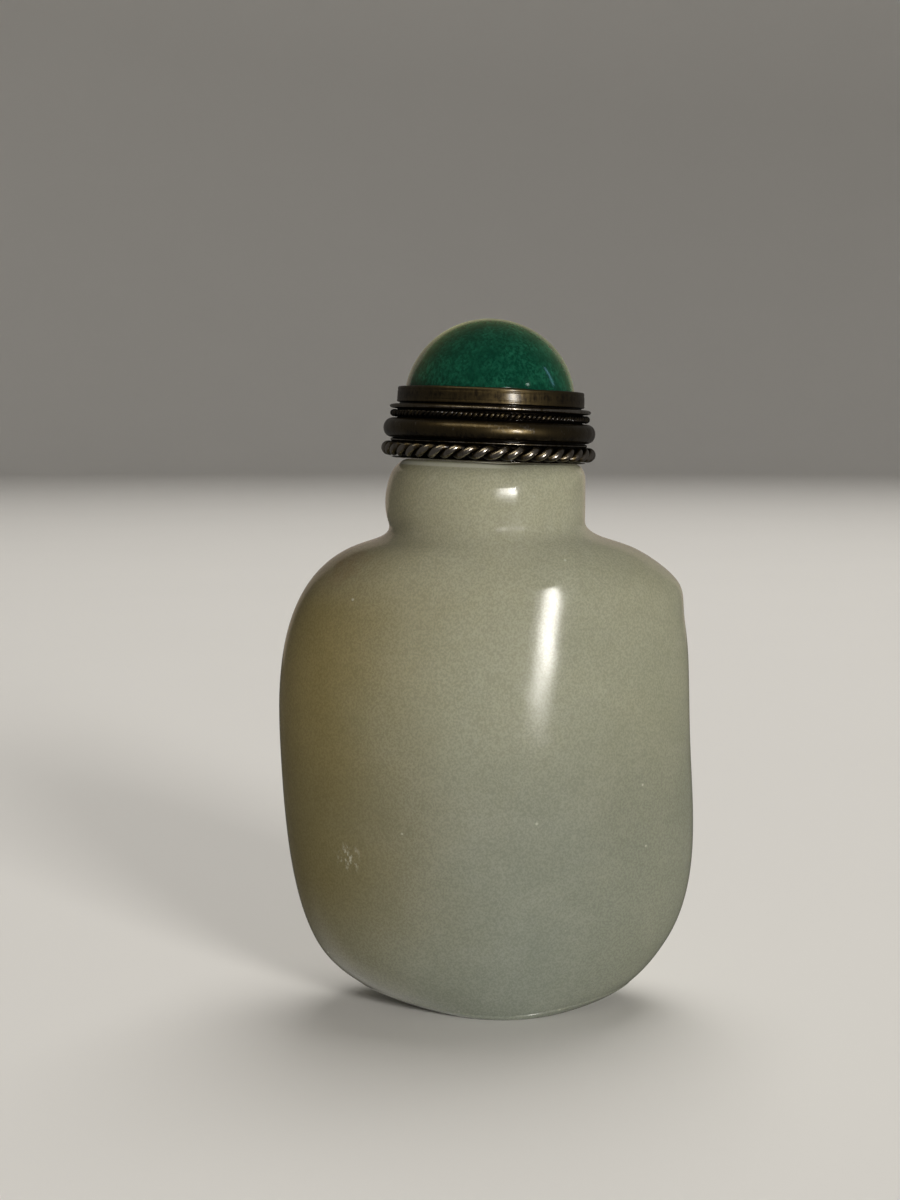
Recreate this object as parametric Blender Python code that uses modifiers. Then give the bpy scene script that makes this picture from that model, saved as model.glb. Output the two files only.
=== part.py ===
"""Flattened jade snuff bottle with a domed stone stopper in a stepped brass mount.

Lengths are in metres and +Z is up. The bottle stands on its foot at z = 0, and its broad faces
look along -Y (the front) and +Y. The stopper leans a little in the mouth, towards +X.
"""

import math

import bpy

MM = 0.001

# --- Bottle: outline of the broad face -----------------------------------------------------
BODY_HALF_WIDTH = 20.7 * MM
WIDEST_HEIGHT = 24.0 * MM
LOWER_REACH = 24.4 * MM  # the curve would close this far under the widest height
LOWER_POWER = 3.1
UPPER_REACH = 23.8 * MM  # and this far over it
UPPER_POWER = 3.85
DRIFT_MEAN = 0.16 * MM  # the hand-cut outline wanders from side to side by this wave
DRIFT_WAVE = 0.42 * MM
DRIFT_LENGTH = 40.0 * MM
DRIFT_PHASE_HEIGHT = 31.0 * MM
FOOT_SHIFT = 1.42 * MM  # the foot stands off centre
FOOT_SHIFT_HEIGHT = 6.35 * MM

# --- Bottle: profile from the side ---------------------------------------------------------
BODY_HALF_DEPTH = 12.9 * MM
DEEPEST_HEIGHT = 28.0 * MM
FOOT_HALF_DEPTH = 7.1 * MM
BELLY_POWER = 1.65
FACE_CURVE_REACH = 42.0 * MM
CREASE_HEIGHT = 43.0 * MM  # the soft edge between the broad face and the shoulder
SHOULDER_STRAIGHTNESS = 0.55
SHOULDER_CORNER = 0.4 * MM  # how far the crease stands out at the +X side
SHOULDER_CORNER_HEIGHT = 42.6 * MM
SHOULDER_CORNER_SPREAD = 1.6 * MM

# --- Bottle: neck and mouth ----------------------------------------------------------------
NECK_X = -0.25 * MM
NECK_FOOT_HEIGHT = 47.45 * MM
NECK_FOOT_RADIUS = 9.85 * MM
NECK_WAIST_HEIGHT = 48.2 * MM
NECK_BULGE_RADIUS = 9.9 * MM
NECK_BULGE_HEIGHT = 50.7 * MM
NECK_CURVE = 0.03 / MM  # how fast the barrel narrows away from its bulge
NECK_BOW = 0.044 / MM  # and how fast its centre moves to +X, which leaves that side straight
NECK_SHOULDER_HEIGHT = 53.2 * MM
LIP_HEIGHT = 54.5 * MM
LIP_CORNER = 1.15 * MM
LIP_SLOPE = 0.034  # the lip isn't cut level: it falls by this share of the way towards +X
MOUTH_X = 0.1 * MM
MOUTH_RADIUS = 4.5 * MM
MOUTH_CHAMFER = 0.4 * MM

# --- Bottle: hollow ------------------------------------------------------------------------
HOLLOW_HALF_WIDTH = 15.2 * MM  # leaves side walls of 5.5 mm
HOLLOW_HALF_DEPTH = 8.7 * MM  # leaves face walls of 4.2 mm
HOLLOW_MIDDLE = 24.5 * MM
HOLLOW_REACH = 19.0 * MM
HOLLOW_POWER = 3.0
HOLLOW_FLOOR = 6.0 * MM
BORE_END_HEIGHT = 43.3 * MM

# --- Stopper: its place --------------------------------------------------------------------
STOPPER_X = 0.1 * MM
STOPPER_HEIGHT = 54.85 * MM  # underside of the mount at its centre
STOPPER_LEAN = math.radians(2.2)  # about +Y, the top towards +X

# --- Stopper: heights and radii over the underside of the mount ----------------------------
COLLAR_FOOT_RADIUS = 8.75 * MM
MOULDING_BOTTOM = 2.0 * MM
MOULDING_TOP = 3.95 * MM
MOULDING_RADIUS = 10.45 * MM
GROOVE_RADIUS = 9.0 * MM
GROOVE_TOP = 4.85 * MM
FILLET_RADIUS = 9.9 * MM
FILLET_TOP = 5.3 * MM
BEZEL_BOTTOM = 5.4 * MM
BEZEL_RADIUS = 9.2 * MM
BEZEL_TOP = 7.05 * MM
BEZEL_CHAMFER = 0.15 * MM
SEAT_RADIUS = 8.65 * MM
SEAT_HEIGHT = 5.8 * MM

CABOCHON_RADIUS = 8.35 * MM
CABOCHON_BASE = 6.1 * MM
CABOCHON_GIRDLE = 7.1 * MM
CABOCHON_RISE = 6.9 * MM
CABOCHON_FULLNESS = 0.12  # 0 is a spherical cap, 1 is an ellipse

ROPE_RADIUS = 9.95 * MM
ROPE_HEIGHT = 0.82 * MM
ROPE_MEAN_THICKNESS = 0.6 * MM
ROPE_LOBE = 0.14 * MM
ROPE_TURNS = 21
ROPE_SECTIONS_PER_TURN = 8

WIRE_RADIUS = 9.55 * MM
WIRE_HEIGHT = 4.4 * MM
WIRE_THICKNESS = 0.42 * MM

CORK_TOP = -0.3 * MM
CORK_LENGTH = 6.6 * MM
CORK_TOP_RADIUS = 3.7 * MM
CORK_TIP_RADIUS = 3.4 * MM
CORK_CHAMFER = 0.4 * MM

# --- How finely the shapes are cut ---------------------------------------------------------
BODY_SIDES = 48
COLLAR_SIDES = 40
CABOCHON_SIDES = 32
CORK_SIDES = 24
ROPE_SIDES = 8


def clear_scene():
    for obj in list(bpy.data.objects):
        bpy.data.objects.remove(obj, do_unlink=True)


def make_collection(name):
    collection = bpy.data.collections.new(name)
    bpy.context.scene.collection.children.link(collection)
    return collection


def make_material(name, colour, roughness, metallic=0.0):
    material = bpy.data.materials.new(name)
    material.use_nodes = True
    shader = material.node_tree.nodes["Principled BSDF"]
    shader.inputs["Base Color"].default_value = (*colour, 1.0)
    shader.inputs["Roughness"].default_value = roughness
    shader.inputs["Metallic"].default_value = metallic
    return material


def add_object(name, mesh, collection, material):
    obj = bpy.data.objects.new(name, mesh)
    mesh.materials.append(material)
    collection.objects.link(obj)
    return obj


def falloff(share, power):
    """The height of a superellipse of that power at this share of its reach, from 1 down to 0."""
    return (1.0 - min(abs(share), 1.0) ** power) ** (1.0 / power)


# --- Lofted shapes -------------------------------------------------------------------------


def ellipse_ring(height, centre_x, half_width, half_depth, sides):
    angles = [2.0 * math.pi * step / sides for step in range(sides)]
    return [(centre_x + half_width * math.cos(a), half_depth * math.sin(a), height) for a in angles]


def loft_mesh(name, rings, closed_loop=False):
    """Joins rings of equal length side by side. An open loft gets a flat cap at each end."""
    sides = len(rings[0])
    points = [point for ring in rings for point in ring]
    faces = []
    joints = len(rings) if closed_loop else len(rings) - 1
    for row in range(joints):
        here = row * sides
        there = (row + 1) % len(rings) * sides
        for column in range(sides):
            beside = (column + 1) % sides
            faces.append((here + column, here + beside, there + beside, there + column))
    if not closed_loop:
        faces.append(tuple(reversed(range(sides))))
        faces.append(tuple(range(len(points) - sides, len(points))))
    mesh = bpy.data.meshes.new(name)
    mesh.from_pydata(points, [], faces)
    mesh.update()
    return mesh


# --- The bottle ----------------------------------------------------------------------------


def outline_half_width(height):
    if height < WIDEST_HEIGHT:
        return BODY_HALF_WIDTH * falloff((WIDEST_HEIGHT - height) / LOWER_REACH, LOWER_POWER)
    return BODY_HALF_WIDTH * falloff((height - WIDEST_HEIGHT) / UPPER_REACH, UPPER_POWER)


def outline_centre(height):
    wave = math.cos(2.0 * math.pi * (height - DRIFT_PHASE_HEIGHT) / DRIFT_LENGTH)
    foot = max(0.0, 1.0 - height / FOOT_SHIFT_HEIGHT) ** 2
    return DRIFT_MEAN - DRIFT_WAVE * wave + FOOT_SHIFT * foot


def face_half_depth(height):
    """The belly swells from the foot, the face draws in a little up to the crease, and the
    shoulder falls away from there to the neck."""
    if height < DEEPEST_HEIGHT:
        foot_share = falloff(FOOT_HALF_DEPTH / BODY_HALF_DEPTH, BELLY_POWER)
        belly_reach = DEEPEST_HEIGHT / foot_share
        return BODY_HALF_DEPTH * falloff((DEEPEST_HEIGHT - height) / belly_reach, BELLY_POWER)
    face_height = min(height, CREASE_HEIGHT)
    depth = BODY_HALF_DEPTH * falloff((face_height - DEEPEST_HEIGHT) / FACE_CURVE_REACH, 2.0)
    if height <= CREASE_HEIGHT:
        return depth
    share = (height - CREASE_HEIGHT) / (NECK_FOOT_HEIGHT - CREASE_HEIGHT)
    fall = SHOULDER_STRAIGHTNESS * share + (1.0 - SHOULDER_STRAIGHTNESS) * share**2
    return depth + (NECK_FOOT_RADIUS - depth) * fall


def body_rings():
    """From the foot up to the foot of the neck, closer together where the outline turns."""
    lower_steps = 10
    face_steps = 6
    shoulder_steps = 6
    heights = []
    for step in range(lower_steps):
        turn = 0.5 * math.pi * step / lower_steps
        heights.append(WIDEST_HEIGHT * (1.0 - math.cos(turn)))
    for step in range(face_steps):
        share = math.sin(0.5 * math.pi * step / face_steps)
        heights.append(WIDEST_HEIGHT + (CREASE_HEIGHT - WIDEST_HEIGHT) * share)
    for step in range(shoulder_steps):
        share = math.sin(0.5 * math.pi * step / shoulder_steps)
        heights.append(CREASE_HEIGHT + (NECK_FOOT_HEIGHT - CREASE_HEIGHT) * share)
    rings = []
    for height in heights:
        away = (height - SHOULDER_CORNER_HEIGHT) / SHOULDER_CORNER_SPREAD
        corner = 0.5 * SHOULDER_CORNER * math.exp(-(away**2))
        centre = outline_centre(height) + corner
        width = outline_half_width(height) + corner
        rings.append(ellipse_ring(height, centre, width, face_half_depth(height), BODY_SIDES))
    return rings


def neck_radius(height):
    return NECK_BULGE_RADIUS - NECK_CURVE * (height - NECK_BULGE_HEIGHT) ** 2


def neck_centre(height):
    return NECK_X + NECK_BOW * (height - NECK_BULGE_HEIGHT) ** 2


def slope_with_lip(ring):
    """Lowers a ring towards +X as the lip does: not at all at the neck's bulge, and fully at the lip."""
    sloped = []
    for x, y, z in ring:
        share = max(0.0, z - NECK_BULGE_HEIGHT) / (LIP_HEIGHT - NECK_BULGE_HEIGHT)
        sloped.append((x, y, z - LIP_SLOPE * share * x))
    return sloped


def neck_rings():
    """A barrel-shaped neck and a flat lip with a rounded corner."""
    barrel_steps = 5
    corner_steps = 3
    profile = [(NECK_FOOT_RADIUS, NECK_FOOT_HEIGHT)]
    for step in range(barrel_steps + 1):
        share = step / barrel_steps
        height = NECK_WAIST_HEIGHT + (NECK_SHOULDER_HEIGHT - NECK_WAIST_HEIGHT) * share
        profile.append((neck_radius(height), height))
    corner_radius = neck_radius(NECK_SHOULDER_HEIGHT) - LIP_CORNER
    for step in range(1, corner_steps + 1):
        turn = 0.5 * math.pi * step / corner_steps
        radius = corner_radius + LIP_CORNER * math.cos(turn)
        height = NECK_SHOULDER_HEIGHT + (LIP_HEIGHT - NECK_SHOULDER_HEIGHT) * math.sin(turn)
        profile.append((radius, height))
    rings = [ellipse_ring(h, neck_centre(h), radius, radius, BODY_SIDES) for radius, h in profile]
    return [slope_with_lip(ring) for ring in rings]


def mouth_rings():
    """The round mouth with its chamfer, and the bore down through the neck."""
    profile = [
        (MOUTH_RADIUS + MOUTH_CHAMFER, LIP_HEIGHT),
        (MOUTH_RADIUS, LIP_HEIGHT - MOUTH_CHAMFER),
        (MOUTH_RADIUS, BORE_END_HEIGHT),
    ]
    rings = [ellipse_ring(height, MOUTH_X, radius, radius, BODY_SIDES) for radius, height in profile]
    return [slope_with_lip(ring) for ring in rings]


def hollow_rings():
    """From under the bore, out beneath the shoulder and down to the flat floor."""
    steps = 9
    top_turn = math.asin((BORE_END_HEIGHT - HOLLOW_MIDDLE) / HOLLOW_REACH)
    floor_turn = math.asin((HOLLOW_FLOOR - HOLLOW_MIDDLE) / HOLLOW_REACH)
    rings = []
    for step in range(1, steps + 1):
        share = math.sin(top_turn + (floor_turn - top_turn) * step / steps)
        height = HOLLOW_MIDDLE + HOLLOW_REACH * share
        size = falloff(share, HOLLOW_POWER)
        width = HOLLOW_HALF_WIDTH * size
        depth = HOLLOW_HALF_DEPTH * size
        rings.append(ellipse_ring(height, 0.0, width, depth, BODY_SIDES))
    return rings


def make_bottle(collection):
    jade = make_material("Pale jade", (0.40, 0.41, 0.31), 0.25)
    rings = body_rings() + neck_rings() + mouth_rings() + hollow_rings()
    mesh = loft_mesh("bottle_body", rings)
    return add_object("bottle_body", mesh, collection, jade)


# --- The stopper ---------------------------------------------------------------------------


def turn_profile(name, profile, sides, collection, material):
    """Turns a profile of (radius, height) about Z. It runs down its outer side, top to bottom."""
    mesh = bpy.data.meshes.new(name)
    points = [(radius, 0.0, height) for radius, height in profile]
    edges = [(index, index + 1) for index in range(len(points) - 1)]
    mesh.from_pydata(points, edges, [])
    obj = add_object(name, mesh, collection, material)
    screw = obj.modifiers.new("Turn", "SCREW")
    screw.axis = "Z"
    screw.angle = 2.0 * math.pi
    screw.steps = sides
    screw.render_steps = sides
    screw.use_merge_vertices = True
    screw.merge_threshold = 0.00001
    screw.use_smooth_shade = True
    return obj


def half_round(radius, top, bottom, root_radius, steps):
    """Points down a half-round moulding, without its two roots."""
    middle = 0.5 * (top + bottom)
    half_height = 0.5 * (top - bottom)
    points = []
    for step in range(1, steps):
        turn = math.pi * step / steps
        reach = (radius - root_radius) * math.sin(turn)
        points.append((root_radius + reach, middle + half_height * math.cos(turn)))
    return points


def make_collar(collection):
    brass = make_material("Aged brass", (0.20, 0.15, 0.09), 0.38, 1.0)
    moulding_steps = 7
    profile = [
        (0.0, SEAT_HEIGHT),
        (SEAT_RADIUS, SEAT_HEIGHT),
        (SEAT_RADIUS, BEZEL_TOP),
        (BEZEL_RADIUS - BEZEL_CHAMFER, BEZEL_TOP),
        (BEZEL_RADIUS, BEZEL_TOP - BEZEL_CHAMFER),
        (BEZEL_RADIUS, BEZEL_BOTTOM),
    ]
    profile += half_round(FILLET_RADIUS, FILLET_TOP, GROOVE_TOP, BEZEL_RADIUS, 4)
    profile.append((GROOVE_RADIUS, GROOVE_TOP))
    profile.append((GROOVE_RADIUS, MOULDING_TOP))
    profile += half_round(MOULDING_RADIUS, MOULDING_TOP, MOULDING_BOTTOM, GROOVE_RADIUS, moulding_steps)
    profile.append((COLLAR_FOOT_RADIUS, MOULDING_BOTTOM))
    profile.append((COLLAR_FOOT_RADIUS, 0.0))
    profile.append((0.0, 0.0))
    return turn_profile("stopper_collar", profile, COLLAR_SIDES, collection, brass)


def dome_radius(rise):
    """Between a spherical cap and an ellipse, both of the dome's own radius and rise."""
    ball = (CABOCHON_RADIUS**2 + CABOCHON_RISE**2) / (2.0 * CABOCHON_RISE)
    below = ball - CABOCHON_RISE
    cap = math.sqrt(max(0.0, ball**2 - (rise + below) ** 2))
    ellipse = CABOCHON_RADIUS * falloff(rise / CABOCHON_RISE, 2.0)
    return (1.0 - CABOCHON_FULLNESS) * cap + CABOCHON_FULLNESS * ellipse


def make_cabochon(collection):
    stone = make_material("Green stone", (0.01, 0.10, 0.04), 0.15)
    dome_steps = 8
    profile = []
    for step in range(dome_steps + 1):
        rise = CABOCHON_RISE * math.cos(0.5 * math.pi * step / dome_steps)
        profile.append((dome_radius(rise), CABOCHON_GIRDLE + rise))
    profile.append((CABOCHON_RADIUS, CABOCHON_BASE))
    profile.append((0.0, CABOCHON_BASE))
    return turn_profile("stopper_cabochon", profile, CABOCHON_SIDES, collection, stone)


def make_rope_ring(collection):
    """Two wires twisted together: a two-lobed section that turns as it goes round the collar."""
    brass = make_material("Dark brass wire", (0.16, 0.12, 0.08), 0.42, 1.0)
    sections = ROPE_TURNS * ROPE_SECTIONS_PER_TURN
    rings = []
    for section in range(sections):
        way_round = 2.0 * math.pi * section / sections
        twist = ROPE_TURNS * way_round
        ring = []
        for side in range(ROPE_SIDES):
            turn = -2.0 * math.pi * side / ROPE_SIDES  # this way round, the faces look outwards
            thickness = ROPE_MEAN_THICKNESS + ROPE_LOBE * math.cos(2.0 * (turn - twist))
            radius = ROPE_RADIUS + thickness * math.cos(turn)
            height = ROPE_HEIGHT + thickness * math.sin(turn)
            ring.append((radius * math.cos(way_round), radius * math.sin(way_round), height))
        rings.append(ring)
    mesh = loft_mesh("stopper_rope_ring", rings, closed_loop=True)
    return add_object("stopper_rope_ring", mesh, collection, brass)


def make_fine_wire(collection):
    brass = make_material("Fine brass wire", (0.18, 0.15, 0.12), 0.45, 1.0)
    bpy.ops.mesh.primitive_torus_add(
        major_radius=WIRE_RADIUS,
        minor_radius=0.5 * WIRE_THICKNESS,
        major_segments=COLLAR_SIDES,
        minor_segments=6,
    )
    obj = bpy.context.active_object
    obj.name = "stopper_fine_wire"
    obj.data.name = obj.name
    obj.data.materials.append(brass)
    obj.location.z = WIRE_HEIGHT
    for other in list(obj.users_collection):
        other.objects.unlink(obj)
    collection.objects.link(obj)
    return obj


def make_cork(collection):
    cork = make_material("Cork", (0.45, 0.28, 0.14), 0.9)
    tip = CORK_TOP - CORK_LENGTH
    profile = [
        (0.0, CORK_TOP),
        (CORK_TOP_RADIUS, CORK_TOP),
        (CORK_TIP_RADIUS, tip + CORK_CHAMFER),
        (CORK_TIP_RADIUS - CORK_CHAMFER, tip),
        (0.0, tip),
    ]
    return turn_profile("stopper_cork", profile, CORK_SIDES, collection, cork)


def make_stopper(collection):
    """Every stopper piece is made upright on the mount's underside, then leans with the empty."""
    seat = bpy.data.objects.new("stopper_place", None)
    collection.objects.link(seat)
    seat.location = (STOPPER_X, 0.0, STOPPER_HEIGHT)
    seat.rotation_euler = (0.0, STOPPER_LEAN, 0.0)
    makers = (make_collar, make_cabochon, make_rope_ring, make_fine_wire, make_cork)
    for make in makers:
        piece = make(collection)
        piece.parent = seat


def main():
    clear_scene()
    collection = make_collection("Snuff bottle")
    make_bottle(collection)
    make_stopper(collection)


main()
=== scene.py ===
"""Looks of a flattened jade snuff bottle with a domed green stone stopper in a patinated brass mount.

The file is laid out as an add-on. Property groups hold the sizes and colours, each operator builds one
piece or one group of like pieces, and a panel lists them. Run as a script, it builds the whole bottle on
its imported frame. Lengths are in metres, +Z is up, and the front broad face looks along -Y.
"""

import math

import bpy
import numpy as np
from bpy.props import FloatProperty, FloatVectorProperty, IntProperty, PointerProperty
from bpy.types import NodeSocket, Operator, Panel, PropertyGroup
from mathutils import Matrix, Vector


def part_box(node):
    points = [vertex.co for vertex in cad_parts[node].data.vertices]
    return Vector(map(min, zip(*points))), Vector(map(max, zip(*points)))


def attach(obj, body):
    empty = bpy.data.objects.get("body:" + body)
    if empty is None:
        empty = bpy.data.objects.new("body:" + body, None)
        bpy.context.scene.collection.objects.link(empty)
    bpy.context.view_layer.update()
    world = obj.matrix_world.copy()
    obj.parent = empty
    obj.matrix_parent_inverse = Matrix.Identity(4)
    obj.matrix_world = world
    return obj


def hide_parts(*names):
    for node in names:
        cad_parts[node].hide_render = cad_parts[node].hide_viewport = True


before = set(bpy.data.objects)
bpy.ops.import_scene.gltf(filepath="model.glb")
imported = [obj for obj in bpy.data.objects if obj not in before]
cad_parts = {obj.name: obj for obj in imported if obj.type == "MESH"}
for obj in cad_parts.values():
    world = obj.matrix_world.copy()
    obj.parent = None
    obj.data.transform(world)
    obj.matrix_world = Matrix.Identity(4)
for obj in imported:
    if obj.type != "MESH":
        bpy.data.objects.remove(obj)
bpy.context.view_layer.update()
BODY_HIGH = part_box("bottle_body")[1]

bl_info = {
    "name": "Snuff Bottle",
    "version": (1, 0, 0),
    "blender": (4, 5, 0),
    "location": "3D View > Sidebar > Snuff Bottle",
    "description": "Builds a jade snuff bottle with a domed stone stopper in a brass mount",
    "category": "Add Mesh",
}

MM = 0.001
FULL_TURN = 2.0 * math.pi
QUARTER_TURN = 0.5 * math.pi

# --- How the outline and the faces curve: numbers of the shape that a user would leave alone ---
LOWER_REACH = 24.4 * MM  # the lower outline would close this far under the widest height
LOWER_POWER = 3.1
UPPER_REACH = 23.8 * MM
UPPER_POWER = 3.85
DRIFT_MEAN = 0.16 * MM  # the hand-cut outline wanders from side to side by this wave
DRIFT_WAVE = 0.42 * MM
DRIFT_LENGTH = 40.0 * MM
DRIFT_PHASE_HEIGHT = 31.0 * MM
FOOT_SHIFT = 1.42 * MM
FOOT_SHIFT_HEIGHT = 6.35 * MM
BELLY_POWER = 1.65
FACE_CURVE_REACH = 42.0 * MM
SHOULDER_STRAIGHTNESS = 0.55
SHOULDER_CORNER = 0.75 * MM
SHOULDER_CORNER_HEIGHT = 42.6 * MM
SHOULDER_CORNER_SPREAD = 2.2 * MM
CREASE_CLIMB = 1.2 * MM  # how far the edge under the shoulder climbs half-way towards +X
CRISP_CREASE = 0.12 * MM  # how far the edge under the shoulder is rounded, at +X
SOFT_CREASE = 0.9 * MM  # and at -X
CREASE_SHARPENS = (-0.9, 0.6)  # over this stretch of the way from -X, which is -1, to +X, which is 1
CLIMB_RISES = (0.1, 0.5)
CLIMB_FALLS = (1.0, 0.8)

FOOT_BAND_FRONT = 0.4 * MM  # height of the crease round the foot, under the broad faces
FOOT_BAND_RISE = 1.8 * MM  # and how much it climbs towards the narrow sides
FOOT_BAND_PROUD = 0.1 * MM
FOOT_BAND_EDGE = 0.07 * MM
FOOT_EDGE = 0.15 * MM

NECK_X = -0.18 * MM
NECK_WAIST_HEIGHT = 48.2 * MM
NECK_BULGE_HEIGHT = 50.7 * MM
NECK_CURVE = 0.04 / MM  # how fast the neck draws in from its bulge, at the sides
NECK_FACE_HEIGHT = 51.8 * MM  # the front and the back bulge a little higher, and more
NECK_FACE_CURVE_BELOW = 0.045 / MM
NECK_FACE_CURVE_ABOVE = 0.14 / MM
NECK_BOW = 0.039 / MM  # and how fast its middle moves towards +X there
NECK_SHOULDER_HEIGHT = 53.2 * MM
NECK_BLEND = (46.3 * MM, 49.3 * MM)  # between these heights the neck runs softly into the shoulder
LIP_CORNER = 0.95 * MM
LIP_SLOPE = 0.034  # the lip falls by this share of the way towards +X
MOUTH_X = 0.1 * MM
MOUTH_CHAMFER = 0.4 * MM

FLAT_X = 1.4 * MM  # a shallow flat that the grinding left on the front of the neck
FLAT_HEIGHT = 51.6 * MM
FLAT_ACROSS = 1.6 * MM  # its spread sideways
FLAT_UP = 3.0 * MM  # and upwards
FLAT_DEPTH = 0.23 * MM

TWIST = 0.0054 / MM  # the front is cut with a slight twist about this place
TWIST_X = 5.0 * MM
TWIST_HEIGHT = 37.0 * MM
TWIST_SPREAD = 8.0 * MM
TWIST_ROOM = 0.08 * MM  # how much shallower the bottle is made, so that the twist stays within its depth

SLOW_WAVES = 15 * MM  # length of the hand cutting's slow waves, and how far they press in
SLOW_WAVE_DEPTH = 0.025 * MM
SHORT_WAVES = 5 * MM
SHORT_WAVE_DEPTH = 0.005 * MM
FOOT_FADE = (0.3 * MM, 4.0 * MM)  # between these heights the hand cutting sets in
LIP_FADE = (54.2 * MM, 52.5 * MM)  # and between these it ends
FRONT_FADE = (-2.0 * MM, -6.0 * MM)  # between these y the front's own marks set in

HOLLOW_HALF_WIDTH = 15.2 * MM
HOLLOW_HALF_DEPTH = 8.7 * MM
HOLLOW_MIDDLE = 24.5 * MM
HOLLOW_REACH = 19.0 * MM
HOLLOW_POWER = 3.0
HOLLOW_FLOOR = 6.0 * MM
BORE_END_HEIGHT = 43.3 * MM


# --- Sizes and colours ---


def length(name, description, default):
    """A length whose default is given in millimetres."""
    kind = {"min": 0.0, "precision": 5, "subtype": "DISTANCE", "unit": "LENGTH"}
    return FloatProperty(name=name, description=description, default=default * MM, **kind)


def colour(name, description, default):
    kind = {"min": 0.0, "max": 1.0, "size": 3, "subtype": "COLOR"}
    return FloatVectorProperty(name=name, description=description, default=default, **kind)


def angle(name, description, default):
    kind = {"subtype": "ANGLE", "unit": "ROTATION"}
    return FloatProperty(name=name, description=description, default=default, **kind)


def wattage(name, description, default):
    return FloatProperty(name=name, description=description, default=default, unit="POWER")


def turn_count(name, description, default):
    return IntProperty(name=name, description=description, default=default, min=1)


class BottleSizes(PropertyGroup):
    """Sizes of the hollow bottle."""

    half_width: length("Half width", "Half the bottle's width at its widest height", 20.7)
    widest_height: length("Widest height", "Height at which the outline is widest", 24.0)
    half_depth: length("Half depth", "Half the depth from face to face", (BODY_HIGH.y - TWIST_ROOM) / MM)
    deepest_height: length("Deepest height", "Height at which the faces stand furthest apart", 28.0)
    foot_half_depth: length("Foot half depth", "Half the depth of the flat foot", 7.1)
    crease_height: length("Crease height", "Height of the soft edge under the shoulder", 43.0)
    neck_foot_height: length("Neck foot height", "Height at which the neck leaves the shoulder", 47.45)
    neck_foot_radius: length("Neck foot radius", "Radius of the neck at its foot", 9.85)
    neck_radius: length("Neck radius", "Radius of the neck at its bulge", 9.97)
    lip_height: length("Lip height", "Height of the sloping lip, over the origin", 54.78)
    mouth_radius: length("Mouth radius", "Radius of the bore through the neck", 4.5)


class StopperSizes(PropertyGroup):
    """Sizes of the stopper. Heights are over the underside of its mount."""

    place_x: length("Sideways place", "How far towards +X the stopper sits in the mouth", 0.1)
    place_height: length("Height of the mount", "Height of the mount's underside at its centre", 54.85)
    lean: angle("Lean", "How far the stopper leans towards +X", math.radians(2.2))
    dome_x: length("Dome set-back", "How far the dome sits towards -X in its bezel", 0.08)
    dome_radius: length("Dome radius", "Radius of the domed stone", 8.36)
    dome_girdle: length("Dome girdle", "Height at which the dome begins to close", 7.1)
    dome_rise: length("Dome rise", "Height of the dome over its girdle", 6.9)
    bezel_radius: length("Bezel radius", "Radius of the bezel at its foot", 9.33)
    bezel_top: length("Bezel top", "Height of the bezel's rim", 7.05)
    moulding_radius: length("Moulding radius", "Radius of the half-round moulding", 10.52)
    fillet_radius: length("Fillet radius", "Radius of the thin ring under the bezel", 10.02)
    rope_radius: length("Rope radius", "Radius of the rope ring, to its middle", 9.95)
    rope_height: length("Rope height", "Height of the rope ring's middle", 0.93)
    rope_strand: length("Rope strand", "Radius of each of the rope ring's strands", 0.35)
    rope_turns: turn_count("Rope turns", "Turns of the rope ring's twist", 21)
    wire_radius: length("Fine wire radius", "Radius of the fine twisted wire, to its middle", 9.56)
    wire_height: length("Fine wire height", "Height of the fine wire's middle", 4.4)
    wire_strand: length("Fine wire strand", "Radius of each of the fine wire's strands", 0.17)
    wire_turns: turn_count("Fine wire turns", "Turns of the fine wire's twist", 58)
    cork_length: length("Cork length", "Length of the cork under the mount", 6.6)
    cork_radius: length("Cork radius", "Radius of the cork at its top", 3.7)


class StoneColours(PropertyGroup):
    """Colours of the jade and of the green stone."""

    # Partly the jade's own warm tone, and towards -X painted warm bounce light.
    jade_warm_tone_and_bounce: colour("Warm jade", "The jade towards its top and its -X side", (0.379, 0.371, 0.264))
    jade_cool: colour("Cool jade", "The jade towards its foot and its +X side", (0.333, 0.357, 0.286))
    # Painted shade: this tint darkens the narrow sides of the jade, most at -X.
    jade_side_shade: colour("Skin side", "Tint that the jade takes towards its -X side", (0.66, 0.55, 0.33))
    jade_grain: colour("Felted grain", "Tint of the darker grains of the jade", (0.81, 0.81, 0.805))
    jade_low: colour("Lower half", "Tint that the jade takes towards its foot", (0.81, 0.825, 0.86))
    # Painted warm bounce light on the -X shoulder, a brown patch.
    jade_painted_bounce: colour("Russet skin", "The stone's skin left on one shoulder", (0.27, 0.16, 0.075))
    # The pale of the veins, flecks and specks, also used for the painted highlight along the lip.
    jade_pale_and_highlight: colour("Pale flecks", "The whitish flecks in the jade", (0.60, 0.60, 0.50))
    green_deep: colour("Deep green", "The domed stone's ground", (0.001, 0.036, 0.020))
    green_pale: colour("Pale green", "The lighter flakes in the domed stone", (0.012, 0.118, 0.066))


class MetalColours(PropertyGroup):
    """Colours of the brass mount and of the cork."""

    brass_rubbed: colour("Rubbed brass", "The brass where handling keeps it bright", (0.37, 0.335, 0.295))
    brass_olive: colour("Olive brass", "The brass under its thin patina", (0.085, 0.062, 0.027))
    brass_patina: colour("Patina", "The brown-black patina in the recesses", (0.010, 0.007, 0.005))
    cork_brown: colour("Cork", "The cork's ground", (0.42, 0.26, 0.13))
    cork_dark: colour("Cork pores", "The cork's dark pores", (0.13, 0.07, 0.035))


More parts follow.
